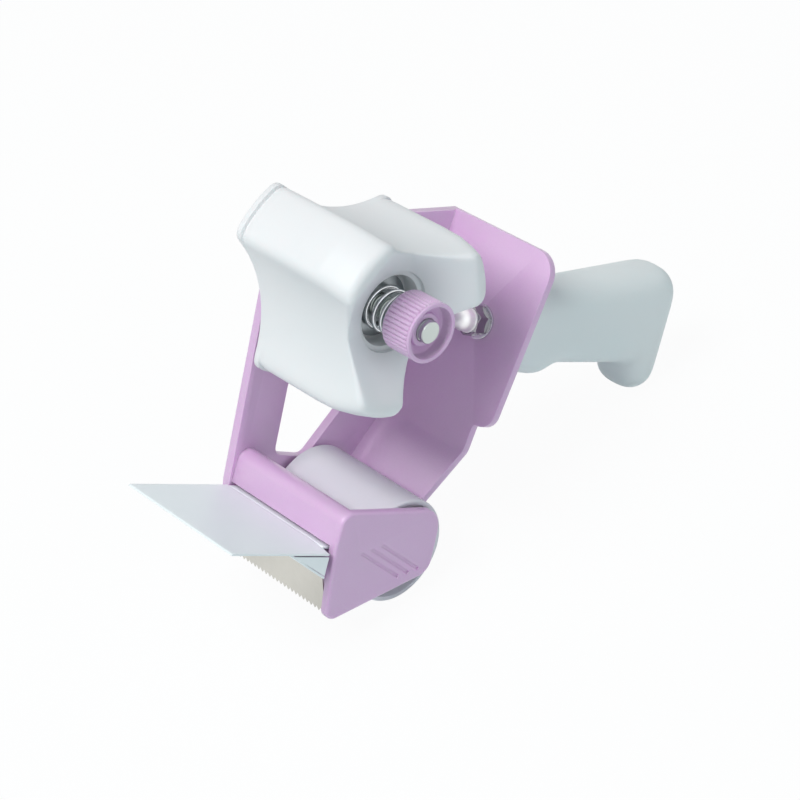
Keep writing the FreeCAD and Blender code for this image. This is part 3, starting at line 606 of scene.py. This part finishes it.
# %% [markdown]
# Geometry Nodes make what repeats or follows a path. `Recipe` is a graph for such a tree: its keyword
# values become the tree's named inputs, and `size` reads one inside it. `grown` ends the tree in Realize
# Instances and Set Material, runs it on an empty object and hands back a plain mesh. The inputs are set
# by their sockets' identifiers, because two sockets may share a name.

# %% A geometry recipe
QUARTER = math.pi / 2


class Recipe(Graph):
    """A Geometry Nodes tree with named sizes. `grown` runs it and returns a plain mesh."""

    def __init__(self, name, finish, **sizes):
        super().__init__(bpy.data.node_groups.new(name, "GeometryNodeTree"))
        self.tree.interface.new_socket("Geometry", in_out="OUTPUT", socket_type="NodeSocketGeometry")
        self.finish, self.sizes, self.identifiers = materials[finish], sizes, {}
        for label, value in sizes.items():
            kind = "NodeSocketInt" if isinstance(value, int) else "NodeSocketFloat"
            self.identifiers[label] = self.tree.interface.new_socket(
                label, in_out="INPUT", socket_type=kind).identifier
        self.entry = self.tree.nodes.new("NodeGroupInput")
        self.exit = self.tree.nodes.new("NodeGroupOutput")

    def size(self, label):
        return Signal(self, self.entry.outputs[label])

    def vector(self, x=0.0, y=0.0, z=0.0):
        return self.node("ShaderNodeCombineXYZ", {}, {0: x, 1: y, 2: z})

    def moved(self, geometry, shift=(0, 0, 0), turn=(0, 0, 0), scale=(1, 1, 1)):
        return self.node("GeometryNodeTransform", {}, {
            "Geometry": geometry, "Translation": shift, "Rotation": turn, "Scale": scale})

    def along_axle(self, geometry):
        """Lay what was drawn up the Z axis along the tape axle, from the recipe's Start towards the knob."""
        return self.moved(geometry, shift=self.vector(y=self.size("Start") * -1), turn=(QUARTER, 0, 0))

    def joined(self, *parts):
        join = self.tree.nodes.new("GeometryNodeJoinGeometry")
        for part in parts:
            self.tree.links.new(part.socket, join.inputs[0])
        return Signal(self, join.outputs[0])

    def tube(self, path, radius, sides=12):
        section = self.node("GeometryNodeCurvePrimitiveCircle", {}, {"Resolution": sides, "Radius": radius})
        return self.node("GeometryNodeCurveToMesh", {}, {
            "Curve": path, "Profile Curve": section, "Fill Caps": True})

    def grown(self, geometry):
        whole = self.node("GeometryNodeRealizeInstances", {}, {0: geometry})
        whole = self.node("GeometryNodeSetMaterial", {}, {"Geometry": whole, "Material": self.finish})
        self.tree.links.new(whole.socket, self.exit.inputs[0])
        holder = bpy.data.objects.new("holder", bpy.data.meshes.new("holder"))
        bpy.context.scene.collection.objects.link(holder)
        modifier = holder.modifiers.new("recipe", "NODES")
        modifier.node_group = self.tree
        for label, value in self.sizes.items():
            modifier[self.identifiers[label]] = value
        mesh = evaluated_mesh(holder)
        holder.modifiers.remove(modifier)
        bpy.data.objects.remove(holder)
        return mesh


print("recipes ready")

# %% [markdown]
# The axle is a long bolt. Its shank carries a rolled thread as far as the knob travels, and a thread
# is a ridge that follows a helix: a spiral curve, a small six-sided section run along it, and the
# turns sunk into a slightly slimmer shank. The tree's inputs are in millimetres, so a finer thread is
# one changed number. The shank's end is left plain, so that the knob starts easily.

# %% The axle and its thread
def thread_ridge():
    """The thread's ridge, from the brake disc to the axle's plain end."""
    recipe = Recipe("thread", "axle_steel", Pitch=1.25, Start=39.6, Length=22.8, Root=3.62, Ridge=0.36)
    turns = recipe.size("Length") / recipe.size("Pitch")
    helix = recipe.node("GeometryNodeCurveSpiral", {}, {
        "Resolution": 28, "Rotations": turns, "Start Radius": recipe.size("Root"),
        "End Radius": recipe.size("Root"), "Height": recipe.size("Length")})
    return recipe.grown(recipe.along_axle(recipe.tube(helix, recipe.size("Ridge"), sides=6)))


def joined_mesh(*meshes):
    """Several meshes, drawn in the same frame, as one."""
    work = bmesh.new()
    for mesh in meshes:
        work.from_mesh(mesh)
    whole = bpy.data.meshes.new("joined")
    work.to_mesh(whole)
    work.free()
    return whole


# a solid bar is turned round a bore too fine to see, which keeps its end faces four-sided
SOLID, SHANK, ROOT = 0.01, 3.98, 3.62
HEAD, HEAD_THICK = 4.9, 5.3

shank = turned_mesh([
    (SOLID, -64.2), (3.5, -64.2), (3.75, -64.1), (3.95, -63.75), (3.97, -62.6), (ROOT, -62.2),
    (ROOT, -39.4), (SHANK, -39.0), (SHANK, 4.8), (SOLID, 4.8)], around=64)
head = turned_mesh(
    [(SOLID, HEAD), (6.2, HEAD), (6.6, HEAD + 0.05)]
    + [(7.8, HEAD + v) for v in (0.1, 0.5, 2.5, 4.0, 4.4, 4.7, 4.9, 5.05, 5.15, 5.25, HEAD_THICK)]
    + [(6.0, HEAD + HEAD_THICK), (SOLID, HEAD + HEAD_THICK)], M8_FLATS, ((HEAD + HEAD_THICK, -1),))
add_piece("tape_axle_bolt", joined_mesh(shank, head, thread_ridge()), "tape_axle", crease=28)

# %% [markdown]
# The spring is a spiral drawn flat and then raised. Its height follows three map ranges along its
# length: slow, steep and slow again, so the end turns lie closed against the washers.

# %% The brake spring
def spring_coils():
    """Three turns whose first and last lie nearly flat, as a cut and closed spring's do."""
    recipe = Recipe("spring", "bright_plating", Wire=0.72, Mean=7.4, Start=39.4, Length=11.5, Turns=3.2,
                    Closed=0.15)
    wire, closed = recipe.size("Wire"), recipe.size("Closed")
    helix = recipe.node("GeometryNodeCurveSpiral", {}, {
        "Resolution": 48, "Rotations": recipe.size("Turns"), "Start Radius": recipe.size("Mean"),
        "End Radius": recipe.size("Mean"), "Height": 0.0})
    share = recipe.node("GeometryNodeSplineParameter", output="Factor")

    def climb(low, high):
        """From 0 to 1 between two shares of the wire's length."""
        return recipe.node("ShaderNodeMapRange", {}, {0: share, 1: low, 2: high, 3: 0.0, 4: 1.0})

    # each closed end rises by 1.2 wire radii and the wire itself needs one at either end
    rise = recipe.size("Length") - wire * 4.4
    height = (wire * 1.2 * climb(0.0, closed) + rise * climb(closed, 1 - closed)
              + wire * 1.2 * climb(1 - closed, 1.0) + wire)
    raised = recipe.node("GeometryNodeSetPosition", {}, {
        "Geometry": helix, "Offset": recipe.vector(z=height)})
    return recipe.grown(recipe.along_axle(recipe.tube(raised, wire, sides=14)))


mesh = spring_coils()
mesh.transform(STAND)
mesh.shade_smooth()
mesh.set_sharp_from_angle(angle=math.radians(60))
spring = bpy.data.objects.new("brake_spring_coils", mesh)
bpy.context.scene.collection.objects.link(spring)
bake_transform(spring)
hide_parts("brake_spring")
along = [vertex.co.y for vertex in mesh.vertices]
print("the spring runs from", round(max(along), 5), "to", round(min(along), 5), "m along the axle")

# %% [markdown]
# Forty ribs give the fingers a hold. One rib is a line swept with a round section that slims at both
# ends, and it is set on the points of a circle. The cup itself is turned, and open towards the hand.

# %% The knob
def knob_ribs():
    """Rounded ribs side by side round the knob, each sunk into its wall."""
    recipe = Recipe("knob_ribs", "lilac_plastic", Count=40, Radius=9.85, Rib=0.75, Length=11.2, Start=52.4)
    line = recipe.node("GeometryNodeCurvePrimitiveLine", {}, {"End": recipe.vector(z=recipe.size("Length"))})
    line = recipe.node("GeometryNodeResampleCurve", {}, {"Curve": line, "Count": 24})
    share = recipe.node("GeometryNodeSplineParameter", output="Factor")
    # the ribs slim smoothly over the last seventh of each half
    from_middle = recipe.node("ShaderNodeMath", {"operation": "ABSOLUTE"}, {0: share * 2 - 1})
    slim = recipe.node("ShaderNodeMapRange", {"interpolation_type": "SMOOTHERSTEP"}, {
        0: from_middle, 1: 0.86, 2: 1.0, 3: 1.0, 4: 0.45})
    line = recipe.node("GeometryNodeSetCurveRadius", {}, {"Curve": line, "Radius": slim})
    rib = recipe.tube(line, recipe.size("Rib"), sides=16)
    places = recipe.node("GeometryNodeMeshCircle", {}, {
        "Vertices": recipe.size("Count"), "Radius": recipe.size("Radius")})
    ring = recipe.node("GeometryNodeInstanceOnPoints", {}, {"Points": places, "Instance": rib})
    return recipe.grown(recipe.along_axle(ring))


def knob_cup():
    """The cup, its flanged rims, and the boss that the axle's end stands in."""
    return turned_mesh([
        (4.06, -51.9), (10.0, -51.9), (10.3, -52.0), (10.35, -52.4), (10.0, -52.7), (10.0, -63.5),
        (10.2, -63.7), (10.55, -63.8), (10.6, -64.0), (10.55, -64.35), (10.3, -64.6), (9.5, -64.6),
        (9.2, -64.5), (9.1, -64.2), (9.0, -60.9), (8.7, -60.4), (8.2, -60.2), (6.3, -60.2), (6.0, -60.4),
        (5.9, -61.2), (5.6, -61.5), (4.3, -61.6), (4.06, -61.4),
    ], around=120)


add_piece("brake_knob_ribbed", joined_mesh(knob_cup(), knob_ribs()), "brake_knob", crease=34)

# %% [markdown]
# The blade is a bright strip with a pinked lower edge. Each tooth is a three-sided prism, repeated
# along the strip as often as its pitch goes into the length, and the whole strip is leaned against
# its carrier.

# %% The blade
# a three-sided prism of radius 1 is 1.73 wide and 1.5 tall: these shares leave a hair between two teeth
# and sink each a little into the strip
TOOTH_WIDE, TOOTH_TALL, TOOTH_THICK = 0.566, 1.02, 0.96
BARE_END = 0.5


def blade_strip():
    """A steel strip with a pinked edge, drawn hanging from its top edge."""
    recipe = Recipe("blade", "blade_steel", Length=51.0, Height=16.8, Thick=0.6, Pitch=2.0, Depth=1.9,
                    Gap=0.4)
    length, height, depth = recipe.size("Length"), recipe.size("Height"), recipe.size("Depth")
    pitch, thick, gap = recipe.size("Pitch"), recipe.size("Thick"), recipe.size("Gap")
    body_height = height - depth
    strip = recipe.node("GeometryNodeMeshCube", {}, {"Size": recipe.vector(thick, length, body_height)})
    strip = recipe.moved(strip, shift=recipe.vector(
        thick * 0.5, (length * 0.5 + gap) * -1, body_height * -0.5))
    wedge = recipe.node("GeometryNodeMeshCylinder", {}, {"Vertices": 3, "Radius": 1.0, "Depth": 1.0})
    wedge = recipe.moved(wedge, turn=(0, QUARTER, 0))
    wedge = recipe.moved(wedge, scale=recipe.vector(
        thick * TOOTH_THICK, pitch * TOOTH_WIDE, depth / 1.5 * TOOTH_TALL))
    first_tooth = recipe.vector(
        thick * 0.5, (gap + pitch * 0.5 + BARE_END) * -1, (body_height + depth / 3) * -1)
    row = recipe.node("GeometryNodeMeshLine", {"mode": "OFFSET"}, {
        "Count": recipe.node("ShaderNodeMath", {"operation": "FLOOR"}, {0: length / pitch}),
        "Start Location": first_tooth, "Offset": recipe.vector(0.0, pitch * -1, 0.0)})
    teeth = recipe.node("GeometryNodeInstanceOnPoints", {}, {"Points": row, "Instance": wedge})
    return recipe.grown(recipe.joined(strip, teeth))


BLADE_TOP, BLADE_LEAN = (5.6, 0, -93.4), math.radians(-30.6)
mesh = blade_strip()
mesh.transform(Matrix.Translation(BLADE_TOP) @ Matrix.Rotation(BLADE_LEAN, 4, "Y"))
add_piece("blade_toothed", mesh, "blade", crease=30)

# %% [markdown]
# The flap that presses the cut tape down is a thin sheet on a hinge bead, with a narrower tongue
# between the two. It starts as a strip of points without thickness, which Solidify makes into a
# sheet, and a fine bevel keeps the cut edges from looking like paper.

# %% The flap
def sheet_mesh(path, near, far, thick, sag=None):
    """A sheet: (x, z) points along its depth, swept from one side to the other, with a thickness.
    Sag lowers a point by its x and its share of the way across."""
    across = 24
    widths = np.linspace(near, far, across)
    points = [(x, y, z - (sag(x, (y - near) / (far - near)) if sag else 0)) for x, z in path for y in widths]
    faces = [(i * across + k, i * across + k + 1, (i + 1) * across + k + 1, (i + 1) * across + k)
             for i in range(len(path) - 1) for k in range(across - 1)]
    mesh = bpy.data.meshes.new("sheet")
    mesh.from_pydata(points, [], faces)
    return finished_mesh(mesh, ("SOLIDIFY", {"thickness": thick, "offset": 0.0}),
                         ("BEVEL", {"width": thick * 0.3, "segments": 2, "limit_method": "ANGLE",
                                    "angle_limit": math.radians(50)}))


HINGE, FLAP_FRONT, FLAP_THICK = (5.3, -83.1), (-44.2, -84.8), 0.78
FLAP_SAG, FLAP_DEPTH = 0.9, 50
flap_rise = (HINGE[1] - FLAP_FRONT[1]) / (HINGE[0] - FLAP_FRONT[0])
flap_line = [(x, FLAP_FRONT[1] + flap_rise * (x - FLAP_FRONT[0]))
             for x in np.linspace(FLAP_FRONT[0], HINGE[0], 40)]


def near_sag(x, share):
    """The flap droops a little over the fifth nearest the knob, and more towards the hinge."""
    return FLAP_SAG * max(0, 1 - share * 5) ** 2 * (x - FLAP_FRONT[0]) / FLAP_DEPTH


flap = sheet_mesh([p for p in flap_line if p[0] <= 2.2], -54.8, -0.3, FLAP_THICK, sag=near_sag)
tongue = sheet_mesh([p for p in flap_line if p[0] > 0.8], -50.8, -1.0, FLAP_THICK)
bead = turned_mesh([(SOLID, -50.8), (0.3, -50.8), (0.4, -50.7), (0.4, -1.1), (0.3, -1.0), (SOLID, -1.0)],
                   around=24, centre=HINGE)
add_piece("wiper_flap_sheet", joined_mesh(flap, tongue, bead), "wiper_flap", crease=40)

# %% [markdown]
# A bent leaf props the flap from below. It is the same kind of sheet, and a small three-cornered web
# at either end stiffens its fold. A web is too small to be worth a modifier's sheet, so its two faces
# and its rim are written out point by point.

# %% The flap's prop
def web_mesh(corners, near, thick):
    """A small flat plate that stands across the axle: its (x, z) corners, nearer face and thickness."""
    count = len(corners)
    points = [(x, y, z) for y in (near, near + thick) for x, z in corners]
    faces = [tuple(range(count)), tuple(range(2 * count - 1, count - 1, -1))]
    faces += [(k, count + k, count + (k + 1) % count, (k + 1) % count) for k in range(count)]
    return finished_mesh(closed_mesh("web", points, faces),
                         ("BEVEL", {"width": thick * 0.25, "segments": 2, "limit_method": "NONE"}))


leaf = sheet_mesh([(-15.9, -84.95), (-10, -87.35), (-3, -90.2), (3.5, -92.7)], -54.5, -0.3, 0.8)
webs = [web_mesh([(-14.6, -85.2), (2.2, -85.0), (3.2, -92.0)], near, 0.5) for near in (-54.5, -0.9)]
add_piece("flap_prop_leaf", joined_mesh(leaf, *webs), "flap_prop", crease=40)

# %% [markdown]
# A cap nut holds the grip to the back plate. Its hexagon and dome are one piece of plating, but each
# has a finish of its own: the hexagon's dark colour is painted shade, and the dome's near-white colour
# is a painted highlight. The grip's moulding has wide rounds that run into each other: its measured
# walls are laid out again as small even faces, and then rubbed, each point drawn towards its
# neighbours, except close to the plate where the edge stays crisp.

# %% The grip and its cap nut
GRIP_CENTRE = (-28.0, -4.2)
NUT_FACE, NUT_THICK, NUT_BORE, M6_FLATS = 66.2, 6.0, 3.02, 10
NUT_END = NUT_FACE - NUT_THICK
DOME_RADIUS, DOME_START, DOME_RISE = 4.2, 8.5, 4.1
DOME_TIP = NUT_FACE - 12.6

hexagon = turned_mesh(
    [(3.3, NUT_FACE), (4.7, NUT_FACE)]
    + [(6.0, NUT_FACE - v) for v in (0, 0.15, 0.35, 0.6, 1, 3, 5, 5.4, 5.65, 5.85, NUT_THICK)]
    + [(NUT_BORE, NUT_END), (NUT_BORE, NUT_FACE - 0.3)],
    M6_FLATS, ((NUT_FACE, -1), (NUT_END, 1)), axis="x", centre=GRIP_CENTRE)
dome = [(DOME_RADIUS * math.cos(a), NUT_FACE - DOME_START - DOME_RISE * math.sin(a))
        for a in np.linspace(0, QUARTER * 0.99, 14)]
cap = turned_mesh(
    [(3.1, NUT_FACE - 5.9), (4.6, NUT_FACE - 5.9), (4.6, NUT_END), (4.25, NUT_FACE - 6.15)] + dome
    + [(SOLID, DOME_TIP), (SOLID, NUT_FACE - 9.6), (3.0, NUT_FACE - 9.4)], axis="x", centre=GRIP_CENTRE)
# one cap nut in two finishes: painted shade on the hexagon, a painted highlight on the dome
add_piece("grip_nut_cap", hexagon, "grip_nut", finish="dark_plating", crease=28)
add_piece("grip_nut_dome", cap, "grip_nut", finish="pearl_plating", crease=28, replace=False)


def rubbed_grip(voxel=0.9, passes=26, crisp=4.0):
    """The grip's walls as even faces, smoothed all over but for the last few millimetres by the plate."""
    mesh = nodes["grip"].data.copy()
    mesh.transform(STAND.inverted())
    mesh = finished_mesh(mesh, ("REMESH", {"mode": "VOXEL", "voxel_size": voxel}))
    work = bmesh.new()
    work.from_mesh(mesh)
    start = min(vertex.co.x for vertex in work.verts)
    loose = [vertex for vertex in work.verts if vertex.co.x > start + crisp]
    for _ in range(passes):
        bmesh.ops.smooth_vert(work, verts=loose, factor=0.5,
                              use_axis_x=True, use_axis_y=True, use_axis_z=True)
    work.to_mesh(mesh)
    work.free()
    print("the grip starts", round(start, 2), "mm from the axle line")
    return mesh


add_piece("grip_skin", rubbed_grip(), "grip", crease=40)

# %% [markdown]
# The tool stands on a pale floor. To the camera and in mirrors the floor looks almost white, by an
# emission that only those rays see, so it adds no light. A twentieth of the real surface is kept, so
# that the soft shadow stays.

# %% The floor
FLOOR_REACH, FLOOR_WHITE = 3.0, 0.95


def seen_directly(graph):
    """1 where the camera, a mirror or a clear body looks, and 0 for the light that falls on the tool."""
    rays = [graph.node("ShaderNodeLightPath", output=kind)
            for kind in ("Is Camera Ray", "Is Glossy Ray", "Is Transmission Ray")]
    return rays[0].math("MAXIMUM", rays[1]).math("MAXIMUM", rays[2])


def floor_material():
    """A pale matt surface with a glow that lights nothing."""
    finish = Finish("floor")
    grain = finish.noise(60, detail=2)
    finish.coat(Base_Color=finish.blend(grain, (0.80, 0.87, 0.88), (0.82, 0.89, 0.90)), Roughness=0.9,
                Specular_IOR_Level=0.0)
    white = finish.node("ShaderNodeEmission", {}, {"Color": (1, 1, 1), "Strength": 1.0})
    mix = finish.node("ShaderNodeMixShader", {}, {
        0: seen_directly(finish) * FLOOR_WHITE, 1: Signal(finish, finish.shader.outputs[0]), 2: white})
    finish.tree.links.new(mix.socket, finish.output.inputs["Surface"])
    return finish.material


low = cad_box[0][2]
corners = [(x * FLOOR_REACH, y * FLOOR_REACH, low) for x, y in ((-1, -1), (1, -1), (1, 1), (-1, 1))]
mesh = bpy.data.meshes.new("floor")
mesh.from_pydata(corners, [], [(0, 1, 2, 3)])
mesh.materials.append(floor_material())
floor = bpy.data.objects.new("floor", mesh)
bpy.context.scene.collection.objects.link(floor)
print("the floor lies at", round(low, 4), "m")

# %% [markdown]
# The sky is white to look at too, and sheds a cooler and weaker light on the tool from all sides.

# %% The sky
SKY_SHADE, SKY_STRENGTH = (0.87, 0.95, 1.0, 1), 0.37

world = bpy.data.worlds.new("studio")
world.use_nodes = True
sky = Graph(world.node_tree)
background = world.node_tree.nodes["Background"]
background.inputs["Color"].default_value = SKY_SHADE
background.inputs["Strength"].default_value = SKY_STRENGTH
white = sky.node("ShaderNodeBackground", {}, {"Color": (1, 1, 1), "Strength": 1.0})
mix = sky.node("ShaderNodeMixShader", {}, {
    0: seen_directly(sky), 1: Signal(sky, background.outputs[0]), 2: white})
sky.tree.links.new(mix.socket, sky.tree.nodes["World Output"].inputs["Surface"])
bpy.context.scene.world = world
print("sky of strength", SKY_STRENGTH)

# %% [markdown]
# One large key lamp stands high on the cutting end's side, and a cooler, much weaker and larger one
# fills from the knob's side. Both are sheets of light, which keep shadows soft, and look at the axle.

# %% The lamps
def soft_light(name, spot, size, power, shade=(1, 1, 1)):
    """A sheet of light at a spot in metres, facing the origin, with its power in watts."""
    data = bpy.data.lights.new(name, "AREA")
    data.shape, data.size, data.size_y = "RECTANGLE", size[0], size[1]
    data.energy, data.color = power, shade
    lamp = bpy.data.objects.new(name, data)
    facing = (-Vector(spot)).to_track_quat("-Z", "Y").to_matrix().to_4x4()
    lamp.matrix_world = Matrix.Translation(spot) @ facing
    bpy.context.scene.collection.objects.link(lamp)
    print(name, "lamp of", power, "W,", round(Vector(spot).length, 2), "m away")


soft_light("key", spot=(-0.88, 0.0, 1.49), size=(0.8, 0.8), power=21.5)
soft_light("fill", spot=(-0.1, -1.6, 0.7), size=(1.2, 1.2), power=3.5, shade=(0.84, 0.93, 1.0))
